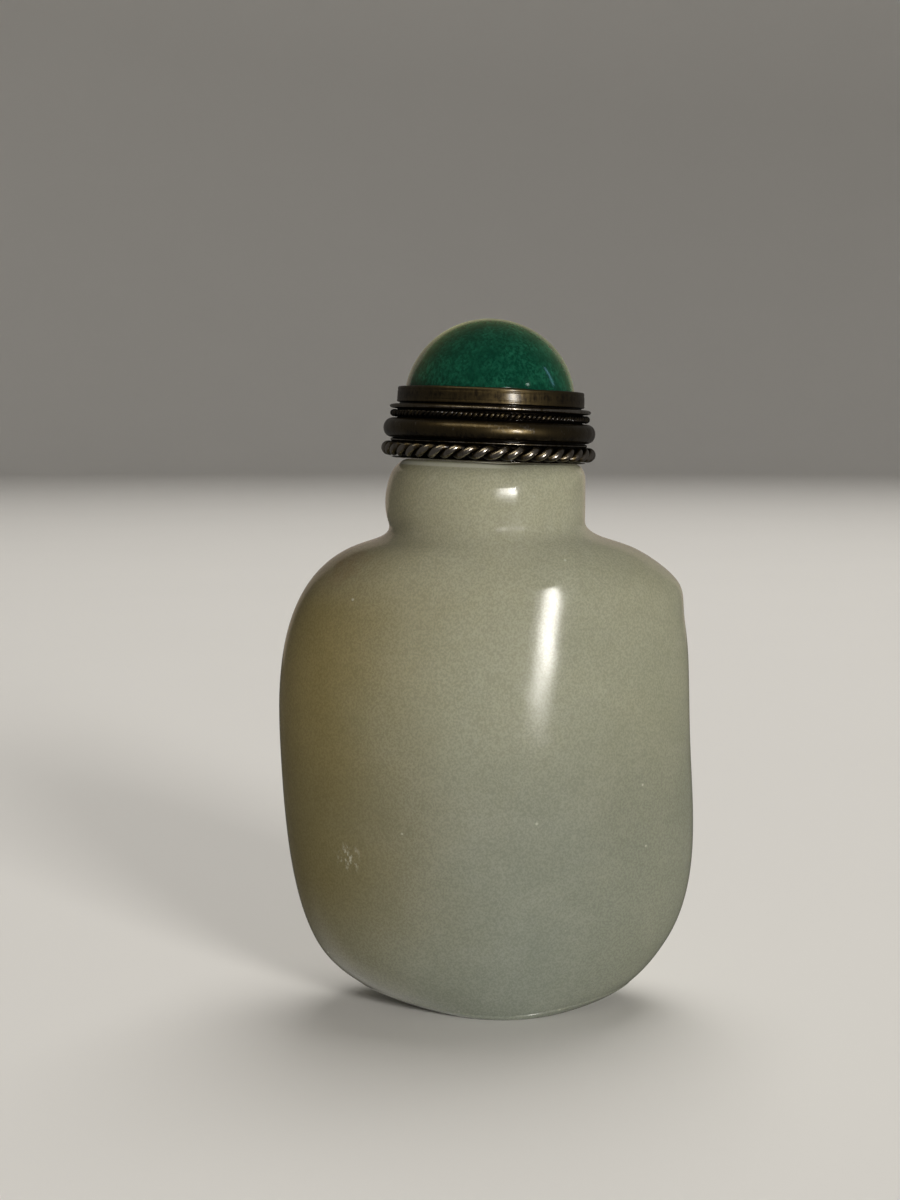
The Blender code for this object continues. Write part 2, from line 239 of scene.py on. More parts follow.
class StageSettings(PropertyGroup):
    """The floor, the lights and the camera."""

    floor_colour: colour("Floor", "The pale floor", (0.80, 0.79, 0.77))
    key_power: wattage("Key power", "Power of the key light", 17.4)
    window_power: wattage("Window power", "Power of the light that makes the highlights", 20.0)
    top_power: wattage("Top power", "Power of the soft light over the floor", 16.0)
    back_power: wattage("Back power", "Power of the light behind", 14.0)
    room_light: FloatProperty(name="Room light", description="Strength of the even light", default=0.08)


# --- Arrays: small formulas that the pieces share ---


def smooth_step(low, high, value):
    """0 at low and 1 at high, and between them three times the share's square less twice its cube."""
    share = np.clip((value - low) / (high - low), 0.0, 1.0)
    return share * share * (3.0 - 2.0 * share)


def soft_ramp(value, softness):
    """Nought below nought and the value above: the softness times log(1 + e^(value / softness))."""
    return softness * np.logaddexp(0.0, value / softness)


def falloff(share, power):
    """A superellipse's height at that share of its reach: (1 - share^power)^(1 / power)."""
    return (1.0 - np.minimum(np.abs(share), 1.0) ** power) ** (1.0 / power)


def waver(points, wavelength, seed):
    """A smooth random number, mostly within -1 and 1, at each point: a sum of cosines that run along random
    directions with that wavelength, scaled so that its usual size is a half."""
    waves = 12
    random = np.random.default_rng(seed)
    directions = random.normal(size=(waves, 3))
    directions /= np.linalg.norm(directions, axis=1, keepdims=True)
    starts = random.uniform(0.0, FULL_TURN, waves)
    phases = points @ directions.T * (FULL_TURN / wavelength) + starts
    return np.cos(phases).sum(axis=-1) / math.sqrt(2.0 * waves)


def along_normals(grid, distance):
    """Moves the points of a grid whose columns close by those distances along its normals: the step across
    the neighbouring columns, crossed with the step across the neighbouring rows and made one long."""
    across_columns = np.roll(grid, -1, axis=1) - np.roll(grid, 1, axis=1)
    normals = np.cross(across_columns, np.gradient(grid, axis=0))
    normals /= np.maximum(np.linalg.norm(normals, axis=-1, keepdims=True), 1e-12)
    return grid + distance[..., None] * normals


def soften_rows(grid, low, high, passes):
    """Rounds what lies between two heights: each point moves to the mean of itself, counted twice, and its
    neighbours in the rows before and after, that many times."""
    inside = (grid[1:-1, :, 2:] > low) & (grid[1:-1, :, 2:] < high)
    for _ in range(passes):
        mean = 0.25 * grid[:-2] + 0.5 * grid[1:-1] + 0.25 * grid[2:]
        grid[1:-1] = np.where(inside, mean, grid[1:-1])
    return grid


def steps_between(stops, counts):
    """Numbers that run through the stops, with that count of even steps to each stretch."""
    spans = zip(stops[:-1], stops[1:], counts)
    stretches = [np.linspace(low, high, count, endpoint=False) for low, high, count in spans]
    return np.concatenate([*stretches, stops[-1:]])


def ellipse_rows(height, centre_x, half_width, half_depth, columns):
    """Rows of ellipses: x is the centre plus the half width times the cosine of the way round, y is the
    half depth times its sine, and z is the height."""
    turn = np.linspace(0.0, FULL_TURN, columns, endpoint=False)
    x, y = centre_x + half_width * np.cos(turn), half_depth * np.sin(turn)
    return np.stack(np.broadcast_arrays(x, y, height), axis=-1)


def turned_rows(profile, columns):
    """A profile of (radius, height) carried round Z."""
    return ellipse_rows(profile[:, 1:], 0.0, profile[:, :1], profile[:, :1], columns)


def rounded_profile(corners, spacing, passes):
    """Straight runs between the corners, cut at about that spacing. Each point then moves to the mean of
    itself, counted twice, and its two neighbours, that many times, which rounds the corners."""
    corners = np.array(corners)
    travelled = np.concatenate([[0.0], np.cumsum(np.hypot(*np.diff(corners, axis=0).T))])
    stops = np.linspace(0.0, travelled[-1], int(travelled[-1] / spacing) + 1)
    line = np.stack([np.interp(stops, travelled, corners[:, axis]) for axis in (0, 1)], axis=1)
    for _ in range(passes):
        line[1:-1] = 0.25 * line[:-2] + 0.5 * line[1:-1] + 0.25 * line[2:]
    return line


def half_round(root, reach, bottom, top, steps, fullness=1.0):
    """Points up a half-round moulding: the radius swells from the root by the reach times a power of a
    sine, which is fuller than a half circle under a power of 1."""
    turn = np.linspace(0.0, math.pi, steps)
    middle = 0.5 * (bottom + top)
    return [(root + reach * math.sin(t) ** fullness, middle - (top - middle) * math.cos(t)) for t in turn]


# --- Meshes ---


def grid_faces(rows, columns, first, closed_rows):
    """Quads between neighbouring rows of a grid whose columns close, as an array of point numbers."""
    index = np.arange(rows * columns).reshape(rows, columns) + first
    if closed_rows:
        index = np.vstack([index, index[:1]])
    here, there = index[:-1], index[1:]
    quads = np.stack([here, np.roll(here, -1, axis=1), np.roll(there, -1, axis=1), there], axis=-1)
    return quads.reshape(-1, 4)


def grid_uv(rows, columns, closed_rows):
    """The way round and the way along, from 0 to 1, at each quad's corners."""
    down = rows if closed_rows else rows - 1
    row, column = np.meshgrid(np.arange(down), np.arange(columns), indexing="ij")
    corners = [(column, row), (column + 1, row), (column + 1, row + 1), (column, row + 1)]
    uv = [np.stack([c / columns, r / down], axis=-1) for c, r in corners]
    return np.stack(uv, axis=2).reshape(-1, 2)


def pole_faces(ring, pole, at_start):
    """A fan of triangles between a pole and the row next to it."""
    beside = np.roll(ring, -1)
    poles = np.full_like(ring, pole)
    corners = [poles, beside, ring] if at_start else [ring, beside, poles]
    return np.stack(corners, axis=-1)


def signed_volume(points, triangles):
    """A sixth of the sum of the corners' triple products, above nought where faces point outwards."""
    a, b, c = (points[triangles[:, corner]] for corner in range(3))
    return np.einsum("ij,ij->", a, np.cross(b, c)) / 6.0


def surface_object(name, grids, material, poles=(), closed_rows=False, rub=None):
    """Puts grids of points into one smooth mesh object that rides on the root body. Two poles, for a single
    grid, close its first and last row. The rub is one number for each grid point, kept as an attribute."""
    points = np.concatenate([grid.reshape(-1, 3) for grid in grids] + [np.reshape(poles, (-1, 3))])
    quads, uv, first = [], [], 0
    for grid in grids:
        rows, columns = grid.shape[:2]
        quads.append(grid_faces(rows, columns, first, closed_rows))
        uv.append(grid_uv(rows, columns, closed_rows))
        first += rows * columns
    quads = np.concatenate(quads)
    triangles = np.empty((0, 3), int)
    if len(poles):
        start = pole_faces(np.arange(columns), first, True)
        end = pole_faces(np.arange(first - columns, first), first + 1, False)
        triangles = np.concatenate([start, end])
        uv.append(np.full((triangles.size, 2), 0.5))
    halves = np.concatenate([quads[:, [0, 1, 2]], quads[:, [0, 2, 3]], triangles])
    if signed_volume(points, halves) <= 0.0:
        raise RuntimeError(f"{name} is inside out")
    mesh = bpy.data.meshes.new(name)
    mesh.from_pydata(points, [], [*quads.tolist(), *triangles.tolist()])
    mesh.uv_layers.new(name="UVMap").data.foreach_set("uv", np.concatenate(uv).astype(np.float32).ravel())
    if rub is not None:
        at_poles = np.full(len(points) - rub.size, rub.mean())
        values = np.concatenate([rub.ravel(), at_poles]).astype(np.float32)
        mesh.attributes.new("rub", "FLOAT", "POINT").data.foreach_set("value", values)
    if mesh.validate():
        raise RuntimeError(f"{name} has faulty faces")
    mesh.shade_smooth()
    mesh.materials.append(material)
    obj = bpy.data.objects.new(name, mesh)
    bpy.context.scene.collection.objects.link(obj)
    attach(obj, "root")
    return obj


def set_on_mouth(points, sizes):
    """Leans points about +Y by the stopper's lean, and moves them from the mount's frame to the mouth."""
    cosine, sine = math.cos(sizes.lean), math.sin(sizes.lean)
    x = points[..., 0] * cosine + points[..., 2] * sine + sizes.place_x
    z = points[..., 2] * cosine - points[..., 0] * sine + sizes.place_height
    return np.stack([x, points[..., 1], z], axis=-1)


# --- Shader nodes ---


def new_material(name):
    """A new material, its node tree and its shader."""
    material = bpy.data.materials.new(name)
    material.use_nodes = True
    tree = material.node_tree
    return material, tree, tree.nodes["Principled BSDF"]


def fill(node, inputs):
    """Links each socket, and sets each plain value, at the node's input of that name or number."""
    for key, value in inputs.items():
        if isinstance(value, NodeSocket):
            node.id_data.links.new(value, node.inputs[key])
        else:
            node.inputs[key].default_value = value


def add_node(kind, inputs, **settings):
    """Adds a shader node to the tree of the first socket among its inputs, and returns its outputs."""
    tree = next(value.id_data for value in inputs.values() if isinstance(value, NodeSocket))
    node = tree.nodes.new("ShaderNode" + kind)
    for key, value in settings.items():
        setattr(node, key, value)
    fill(node, inputs)
    return node.outputs


def object_place(tree, stretch=(1.0, 1.0, 1.0), turn=(0.0, 0.0, 0.0)):
    """Object coordinates, turned and stretched by a Mapping node."""
    place = tree.nodes.new("ShaderNodeTexCoord").outputs["Object"]
    inputs = {"Vector": place, "Rotation": turn, "Scale": stretch}
    return add_node("Mapping", inputs)["Vector"]


def axes_of(vector):
    """The sockets of a vector's X, Y and Z."""
    return tuple(add_node("SeparateXYZ", {0: vector}))


def noise(place, size, detail=2.0, roughness=0.5, distortion=0.0):
    """Noise whose features are about that size."""
    character = {"Detail": detail, "Roughness": roughness, "Distortion": distortion}
    inputs = {"Vector": place, "Scale": 1.0 / size, **character}
    return add_node("TexNoise", inputs)["Fac"]


def ramp(value, low, high, to_low=0.0, to_high=1.0):
    """Carries low..high to another range with smooth ends."""
    inputs = {"Value": value, "From Min": low, "From Max": high, "To Min": to_low, "To Max": to_high}
    return add_node("MapRange", inputs, interpolation_type="SMOOTHSTEP")["Result"]


def maths(operation, values):
    """Carries one operation through the values, from the first to the last."""
    result = values[0]
    for value in values[1:]:
        result = add_node("Math", {0: result, 1: value}, operation=operation)[0]
    return result


def plus(*values):
    return maths("ADD", values)


def times(*values):
    return maths("MULTIPLY", values)


def mix(share, a, b, blend="MIX"):
    """Mixes two colours, given as tuples or sockets."""
    a, b = (c if isinstance(c, NodeSocket) else (*c, 1.0) for c in (a, b))
    return add_node("Mix", {0: share, 6: a, 7: b}, data_type="RGBA", blend_type=blend)[2]


def bump(height, distance, under=None):
    """The normal over a relief of that depth, which may lie on the normal over another relief."""
    inputs = {"Height": height, "Distance": distance, "Strength": 1.0}
    if under is not None:
        inputs["Normal"] = under
    return add_node("Bump", inputs)["Normal"]


def patch(place, centre, radius):
    """1 at a centre, and falling smoothly to 0 at that radius from it."""
    distance = add_node("VectorMath", {0: place, 1: centre}, operation="DISTANCE")
    return ramp(distance["Value"], radius, 0.0)


# --- Finishes ---


# Where and how wide the painted warm bounce light on the -X shoulder lies.
SHOULDER_BOUNCE_PLACE = (-13.0 * MM, -5.0 * MM, 44.8 * MM)
SHOULDER_BOUNCE_REACH = 5.6 * MM
FLECKS_PLACE = (-13.8 * MM, -9.2 * MM, 16.6 * MM)
FLECKS_REACH = 2.1 * MM
DULL_PLACE = (2.2 * MM, -9.0 * MM, 48.4 * MM)
DULL_REACH = 2.4 * MM
BEZEL_FOOT = (60.0 * MM, 60.3 * MM)  # from the first height to the second the brass turns less rubbed


def jade_material(colours):
    """Polished nephrite. Its two tones drift with the side, the height and slow clouds, with pale veins;
    towards
    -X the warm tone is partly painted warm bounce light, and a patch of it is painted on one shoulder. A
    painted shade darkens the narrow sides, most at -X, and another tint the lower half. Over this lie felted
    grain, a cluster of pale flecks low on the front, sparse specks and a painted highlight along the lip at
    -X. The neck's foot has a dull patch."""
    material, tree, shader = new_material("Jade")
    place = object_place(tree)
    x, _, z = axes_of(place)
    clouds = noise(place, 16 * MM, detail=3.0)
    # The drift warms the jade towards the top and towards -X, where the warmth is painted warm bounce light.
    drift = plus(times(x, 0.55 / (20 * MM)), times(z, -0.9 / (54 * MM)), times(clouds, 1.1))
    tone = mix(ramp(drift, -0.7, 0.9), colours.jade_warm_tone_and_bounce, colours.jade_cool)
    veins = noise(place, 5 * MM, detail=4.0, roughness=0.6, distortion=0.6)
    tone = mix(ramp(veins, 0.35, 0.75, 0.0, 0.12), tone, colours.jade_pale_and_highlight)
    # Painted warm bounce light: a cloudy brown patch on the -X shoulder.
    painted_bounce_cloud = ramp(noise(place, 3.2 * MM, detail=4.0, roughness=0.7), 0.32, 0.68)
    painted_bounce = times(painted_bounce_cloud, patch(place, SHOULDER_BOUNCE_PLACE, SHOULDER_BOUNCE_REACH), 0.5)
    tone = mix(painted_bounce, tone, colours.jade_painted_bounce)

    # Painted shade on the -X side, lessened over the foot and under the shoulder, and a lighter painted
    # shade towards +X.
    side_shade = ramp(plus(x, times(clouds, 4 * MM)), 1.0 * MM, -15.0 * MM)
    over_foot = ramp(z, 2.0 * MM, 15.0 * MM, 0.35, 1.0)
    under_shoulder = ramp(z, 40.0 * MM, 45.0 * MM, 1.0, 0.7)
    side_shade = times(side_shade, over_foot, under_shoulder)
    far_side_shade = ramp(x, 2.0 * MM, 18.0 * MM, 0.0, 0.3)
    low_down = ramp(z, 35.0 * MM, 19.0 * MM)
    felt_place = object_place(tree, stretch=(1.0, 1.0, 0.85), turn=(0.0, math.radians(38.0), 0.0))
    felt = noise(felt_place, 0.19 * MM, detail=2.5, roughness=0.7)
    grain = mix(ramp(felt, 0.39, 0.61), colours.jade_grain, (1.0, 1.0, 1.0))
    tints = ((side_shade, colours.jade_side_shade), (far_side_shade, colours.jade_side_shade), (low_down, colours.jade_low))
    for share, tint in (*tints, (1.0, grain)):
        tone = mix(share, tone, tint, "MULTIPLY")

    fleck_place = object_place(tree, stretch=(1.0, 1.0, 0.5), turn=(0.0, math.radians(-30.0), 0.0))
    flecks = ramp(noise(fleck_place, 0.5 * MM, detail=3.0, roughness=0.75), 0.52, 0.66)
    flecks = times(flecks, patch(place, FLECKS_PLACE, FLECKS_REACH))
    cells = add_node("TexVoronoi", {"Vector": place, "Scale": 1.0 / (2.6 * MM)})
    speck = ramp(cells["Distance"], 0.075, 0.03)
    chosen = add_node("SeparateColor", {0: cells["Color"]})["Red"]
    specks = times(speck, ramp(chosen, 0.62, 0.72, 0.0, 0.55))
    # Painted highlight: a pale line along the lip's edge, at -X.
    lip_level = plus(z, times(x, LIP_SLOPE))
    lip_painted_highlight = times(ramp(lip_level, 54.2 * MM, 54.4 * MM), ramp(lip_level, 54.72 * MM, 54.55 * MM))
    lip_painted_highlight = times(lip_painted_highlight, ramp(x, 3.0 * MM, 0.5 * MM, 0.0, 0.7))
    for share in (flecks, specks, lip_painted_highlight):
        tone = mix(share, tone, colours.jade_pale_and_highlight)

    polish = ramp(noise(place, 2.4 * MM, detail=3.0), 0.3, 0.7, 0.10, 0.15)
    polish = plus(polish, times(patch(place, DULL_PLACE, DULL_REACH), 0.3))
    relief = bump(felt, 0.0045 * MM, bump(noise(place, 1.3 * MM, detail=1.0), 0.006 * MM))
    fill(shader, {"Base Color": tone, "Roughness": polish, "Normal": relief})
    fill(shader, {"IOR": 1.61, "Specular IOR Level": 0.3, "Subsurface Weight": 0.35})
    fill(shader, {"Subsurface Radius": (1.0, 1.0, 0.7), "Subsurface Scale": 1.6 * MM})
    return material


def green_stone_material(colours):
    """Deep green stone with lighter felted flakes, a glassy polish and a thin sheen towards its edges."""
    material, tree, shader = new_material("Green stone")
    place = object_place(tree)
    clouds = noise(place, 2.0 * MM, detail=4.0, roughness=0.65)
    flake_place = object_place(tree, stretch=(1.0, 1.0, 0.7), turn=(0.3, math.radians(35.0), 0.0))
    flakes = noise(flake_place, 0.3 * MM, detail=3.0, roughness=0.7, distortion=0.4)
    lit = times(ramp(flakes, 0.34, 0.68), ramp(clouds, 0.3, 0.7, 0.15, 1.0))
    tone = mix(lit, colours.green_deep, colours.green_pale)
    fill(shader, {"Base Color": tone, "Roughness": 0.12, "IOR": 1.54, "Specular IOR Level": 0.22})
    fill(shader, {"Sheen Weight": 0.25, "Sheen Roughness": 0.35, "Sheen Tint": (0.75, 0.85, 0.3, 1.0)})
    fill(shader, {"Subsurface Weight": 0.2, "Subsurface Scale": 0.8 * MM})
    fill(shader, {"Subsurface Radius": (0.4, 1.0, 0.6)})
    return material


def brass_material(name, colours, rub_low, rub_high, roughness):
    """Old brass: patina where the rub attribute is low, olive brass where it is higher, and bright brass on
    the edges that stand out, broken up by stains, grime and upright scratches. The bezel is less rubbed and
    a little rougher. A thin coat gives the gloss of handling."""
    material, tree, shader = new_material(name)
    place = object_place(tree)
    stains = noise(place, 1.6 * MM, detail=5.0, roughness=0.65)
    grime = noise(place, 0.35 * MM, detail=3.0, roughness=0.6)
    upright = object_place(tree, stretch=(1.0, 1.0, 0.1))
    scratches = noise(upright, 0.3 * MM, detail=3.0, roughness=0.7)
    # On the mount the rub attribute is also lower on faces that look down, which paints shade under the
    # mouldings.
    rub = tree.nodes.new("ShaderNodeAttribute")
    rub.attribute_name = "rub"
    worn = rub.outputs["Fac"]
    for pattern, share in ((stains, 0.7), (grime, 0.5), (scratches, 0.6)):
        worn = plus(worn, times(plus(pattern, -0.5), share))
    height = axes_of(place)[2]
    rubbed = times(ramp(worn, rub_high, rub_high + 0.35), ramp(height, *BEZEL_FOOT, 1.0, 0.1))
    tone = mix(ramp(worn, rub_low, rub_high), colours.brass_patina, colours.brass_olive)
    tone = mix(rubbed, tone, colours.brass_rubbed)
    polish = ramp(worn, rub_low, rub_high + 0.3, roughness + 0.22, roughness)
    polish = plus(polish, ramp(height, *BEZEL_FOOT, 0.0, 0.1))
    relief = bump(grime, 0.012 * MM, bump(stains, 0.02 * MM))
    fill(shader, {"Base Color": tone, "Roughness": polish, "Normal": relief, "Metallic": 1.0})
    fill(shader, {"Coat Weight": 0.5, "Coat Roughness": 0.18})
    return material


def cork_material(colours):
    """Cork: warm brown grains with dark pores."""
    material, tree, shader = new_material("Cork grain")
    place = object_place(tree)
    cells = add_node("TexVoronoi", {"Vector": place, "Scale": 1.0 / (0.7 * MM)})
    pores = noise(place, 0.5 * MM, detail=4.0, roughness=0.7)
    tone = mix(ramp(pores, 0.56, 0.68), colours.cork_brown, colours.cork_dark)
    tone = mix(ramp(cells["Distance"], 0.2, 0.8, 0.0, 0.3), tone, colours.cork_dark)
    fill(shader, {"Base Color": tone, "Normal": bump(pores, 0.08 * MM), "Roughness": 0.9})
    return material


# --- The bottle ---

BODY_COLUMNS = 256


def outline_half_width(sizes, height):
    """Two superellipse halves that meet at the widest height."""
    below = falloff((sizes.widest_height - height) / LOWER_REACH, LOWER_POWER)
    above = falloff((height - sizes.widest_height) / UPPER_REACH, UPPER_POWER)
    return sizes.half_width * np.where(height < sizes.widest_height, below, above)


def outline_centre(height):
    """A cosine wave about the mean drift, plus a shift of the foot that grows with the square of the depth
    under its height."""
    wave = np.cos(FULL_TURN * (height - DRIFT_PHASE_HEIGHT) / DRIFT_LENGTH)
    foot = np.maximum(0.0, 1.0 - height / FOOT_SHIFT_HEIGHT) ** 2
    return DRIFT_MEAN - DRIFT_WAVE * wave + FOOT_SHIFT * foot


def face_half_depth(sizes, height):
    """The belly is a superellipse about the deepest height, sized to leave the foot's depth at nought. Over
    it the face draws in as a long circle would."""
    foot_share = falloff(sizes.foot_half_depth / sizes.half_depth, BELLY_POWER)
    belly_reach = sizes.deepest_height / foot_share
    belly = falloff((sizes.deepest_height - height) / belly_reach, BELLY_POWER)
    face = falloff((height - sizes.deepest_height) / FACE_CURVE_REACH, 2.0)
    return sizes.half_depth * np.where(height < sizes.deepest_height, belly, face)


def side_rows(sizes, heights):
    """Ellipses up the body. Over the crease, which is crisp at +X, soft at -X and climbs half-way to +X, the
    depth falls to the neck's radius by a straight and a square share. The shoulder's corner at +X is a bell
    curve. A low band stands proud round the foot, whose edge is rounded by a quarter of a circle."""
    height = heights[:, None]
    sideways = np.cos(np.linspace(0.0, FULL_TURN, BODY_COLUMNS, endpoint=False))
    softness = SOFT_CREASE + (CRISP_CREASE - SOFT_CREASE) * smooth_step(*CREASE_SHARPENS, sideways)
    climb = CREASE_CLIMB * smooth_step(*CLIMB_RISES, sideways) * smooth_step(*CLIMB_FALLS, sideways)
    over = soft_ramp(height - sizes.crease_height - climb, softness)
    depth = face_half_depth(sizes, height - over)
    share = over / (sizes.neck_foot_height - sizes.crease_height - climb)
    fall = SHOULDER_STRAIGHTNESS * share + (1.0 - SHOULDER_STRAIGHTNESS) * share**2
    depth = depth + (sizes.neck_foot_radius - depth) * fall

    from_corner = (height - SHOULDER_CORNER_HEIGHT) / SHOULDER_CORNER_SPREAD
    corner = 0.5 * SHOULDER_CORNER * np.exp(-(from_corner**2))
    band_top = FOOT_BAND_FRONT + FOOT_BAND_RISE * sideways**2
    band = smooth_step(band_top + FOOT_BAND_EDGE, band_top - FOOT_BAND_EDGE, height) * FOOT_BAND_PROUD
    lift = 1.0 - np.minimum(height / FOOT_EDGE, 1.0)
    edge = FOOT_EDGE * (1.0 - np.sqrt(1.0 - lift**2))
    width = outline_half_width(sizes, height) + corner + band - edge
    return ellipse_rows(height, outline_centre(height) + corner, width, depth + band - edge, BODY_COLUMNS)


def slope_with_lip(sizes, grid):
    """Lowers rows towards +X as the lip does: not at all at the neck's bulge, and fully at the lip."""
    share = np.maximum(0.0, grid[..., 2] - NECK_BULGE_HEIGHT) / (sizes.lip_height - NECK_BULGE_HEIGHT)
    grid[..., 2] -= LIP_SLOPE * share * grid[..., 0]
    return grid


def neck_rings(sizes, height, draw_in):
    """Near circles up the neck: the half width and the centre follow the square of the height from the
    bulge, the half depth that from a bulge of its own, and both half sizes are less the draw-in."""
    rise, face_rise = (height - NECK_BULGE_HEIGHT) ** 2, (height - NECK_FACE_HEIGHT) ** 2
    half_width = sizes.neck_radius - NECK_CURVE * rise - draw_in
    face_curve = np.where(height < NECK_FACE_HEIGHT, NECK_FACE_CURVE_BELOW, NECK_FACE_CURVE_ABOVE)
    half_depth = sizes.neck_radius - face_curve * face_rise - draw_in
    return ellipse_rows(height, NECK_X + NECK_BOW * rise, half_width, half_depth, BODY_COLUMNS)


def neck_rows(sizes, steps):
    """The neck from its waist to the lip, drawn in over the last stretch by a quarter of an ellipse, and
    then the lip itself, by even shares of the way in to the mouth."""
    straight = np.linspace(NECK_WAIST_HEIGHT, NECK_SHOULDER_HEIGHT, 5 * steps, endpoint=False)[:, None]
    turn = np.linspace(0.0, QUARTER_TURN, 2 * steps)[:, None]
    height = NECK_SHOULDER_HEIGHT + (sizes.lip_height - NECK_SHOULDER_HEIGHT) * np.sin(turn)
    corner = neck_rings(sizes, height, LIP_CORNER * (1.0 - np.cos(turn)))
    inner = sizes.mouth_radius + MOUTH_CHAMFER
    mouth = ellipse_rows(height[-1:], MOUTH_X, inner, inner, BODY_COLUMNS)
    share = np.linspace(0.0, 1.0, steps)[1:, None, None]
    lip = corner[-1:] + share * (mouth - corner[-1:])
    return np.concatenate([neck_rings(sizes, straight, 0.0), corner, lip])


def inside_rows(sizes):
    """The chamfered mouth, the straight bore, and the hollow: a superellipse cut off at its floor."""
    middle = 0.5 * (sizes.lip_height + BORE_END_HEIGHT)
    height = np.array([[sizes.lip_height - MOUTH_CHAMFER], [middle], [BORE_END_HEIGHT]])
    bore = ellipse_rows(height, MOUTH_X, sizes.mouth_radius, sizes.mouth_radius, BODY_COLUMNS)
    top = math.asin((BORE_END_HEIGHT - HOLLOW_MIDDLE) / HOLLOW_REACH)
    floor = math.asin((HOLLOW_FLOOR - HOLLOW_MIDDLE) / HOLLOW_REACH)
    share = np.sin(np.linspace(top, floor, 28)[1:, None])
    size = falloff(share, HOLLOW_POWER)
    height = HOLLOW_MIDDLE + HOLLOW_REACH * share
    hollow = ellipse_rows(height, 0.0, HOLLOW_HALF_WIDTH * size, HOLLOW_HALF_DEPTH * size, BODY_COLUMNS)
    return np.concatenate([bore, hollow])


def hand_cut(grid):
    """Presses the surface in by a few hundredths of a millimetre, along its normals, in slow and in short
    waves. The front's twist is the product of both ways from its middle, times a bell curve in x and z. All
    of this fades out at the foot and at the lip. The neck's flat is a bell curve as well."""
    x, y, z = np.moveaxis(grid, -1, 0)
    front = smooth_step(*FRONT_FADE, y)
    twist_x, twist_z = x - TWIST_X, z - TWIST_HEIGHT
    near = np.exp(-0.5 * (twist_x**2 + twist_z**2) / TWIST_SPREAD**2)
    depth = SLOW_WAVE_DEPTH * (1.0 - waver(grid, SLOW_WAVES, 3))
    depth += SHORT_WAVE_DEPTH * (1.0 - waver(grid, SHORT_WAVES, 8))
    depth -= front * near * TWIST * twist_x * twist_z
    depth *= smooth_step(*FOOT_FADE, z) * smooth_step(*LIP_FADE, z)
    flat = ((x - FLAT_X) / FLAT_ACROSS) ** 2 + ((z - FLAT_HEIGHT) / FLAT_UP) ** 2
    depth += front * FLAT_DEPTH * np.exp(-0.5 * flat)
    return along_normals(grid, -depth)


def bottle_grid(sizes):
    """All rows from the foot's underside, up the outside, over the lip and down the inside to its floor."""
    foot = side_rows(sizes, np.array([0.0]))
    centre = np.array([outline_centre(0.0), 0.0, 0.0])
    foot_rows = np.concatenate([centre + share * (foot - centre) for share in (0.5, 0.9, 0.99)])
    stops = np.array([0.0, 0.15, 2.6, 24.0, 41.0, 45.0, 47.45]) * MM
    side = side_rows(sizes, steps_between(stops, (5, 44, 50, 34, 36, 20)))
    outside = soften_rows(np.concatenate([side, neck_rows(sizes, 7)]), *NECK_BLEND, 10)
    outside = hand_cut(slope_with_lip(sizes, outside))
    return np.concatenate([foot_rows, outside, slope_with_lip(sizes, inside_rows(sizes))])


class SNUFF_OT_bottle(Operator):
    """Builds the hollow jade bottle"""

    bl_idname = "snuff.build_bottle"
    bl_label = "Build bottle"

    def execute(self, context):
        sizes = context.scene.bottle_sizes
        grid = bottle_grid(sizes)
        poles = [(outline_centre(0.0), 0.0, 0.0), (0.0, 0.0, HOLLOW_FLOOR)]
        jade = jade_material(context.scene.stone_colours)
        bottle = surface_object("jade_bottle", [grid], jade, poles)
        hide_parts("bottle_body")
        return {"FINISHED"}


# --- The stopper ---


def dome_grid(sizes):
    """Up the stone's straight side with a small round at its base, then over the dome: its radius lies
    between a spherical cap's and an ellipse's. The polish leaves it very slightly uneven."""
    fullness, unevenness = 0.12, 0.016 * MM
    base, round_base = 6.1 * MM, 0.25 * MM
    rise = sizes.dome_rise * np.sin(np.linspace(0.0, QUARTER_TURN, 97)[:-1])
    ball = (sizes.dome_radius**2 + sizes.dome_rise**2) / (2.0 * sizes.dome_rise)
    cap = np.sqrt(ball**2 - (rise + ball - sizes.dome_rise) ** 2)
    ellipse = sizes.dome_radius * falloff(rise / sizes.dome_rise, 2.0)
    radius = (1.0 - fullness) * cap + fullness * ellipse
    turn = np.linspace(0.0, QUARTER_TURN, 6)
    corner_radius = sizes.dome_radius - round_base * (1.0 - np.sin(turn))
    corner = np.stack([corner_radius, base + round_base * (1.0 - np.cos(turn))], axis=1)
    profile = np.concatenate([corner, np.stack([radius, sizes.dome_girdle + rise], axis=1)])
    grid = turned_rows(profile, 192)
    grid = along_normals(grid, unevenness * (waver(grid, 7 * MM, 21) - 1.0))
    top = sizes.dome_girdle + sizes.dome_rise - unevenness
    return grid - [sizes.dome_x, 0.0, 0.0], [(-sizes.dome_x, 0.0, base), (-sizes.dome_x, 0.0, top)]


def stopper_piece(name, sizes, grids, material, poles=(), **settings):
    """Sets a piece of the stopper, with its poles, on the mouth."""
    grids = [set_on_mouth(grid, sizes) for grid in grids]
    poles = [set_on_mouth(np.array(pole), sizes) for pole in poles]
    return surface_object(name, grids, material, poles, **settings)


class SNUFF_OT_dome(Operator):
    """Builds the domed green stone of the stopper"""

    bl_idname = "snuff.build_dome"
    bl_label = "Build dome"

    def execute(self, context):
        sizes = context.scene.stopper_sizes
        grid, poles = dome_grid(sizes)
        stone = green_stone_material(context.scene.stone_colours)
        dome = stopper_piece("stopper_dome", sizes, [grid], stone, poles)
        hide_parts("stopper_cabochon")
        return {"FINISHED"}


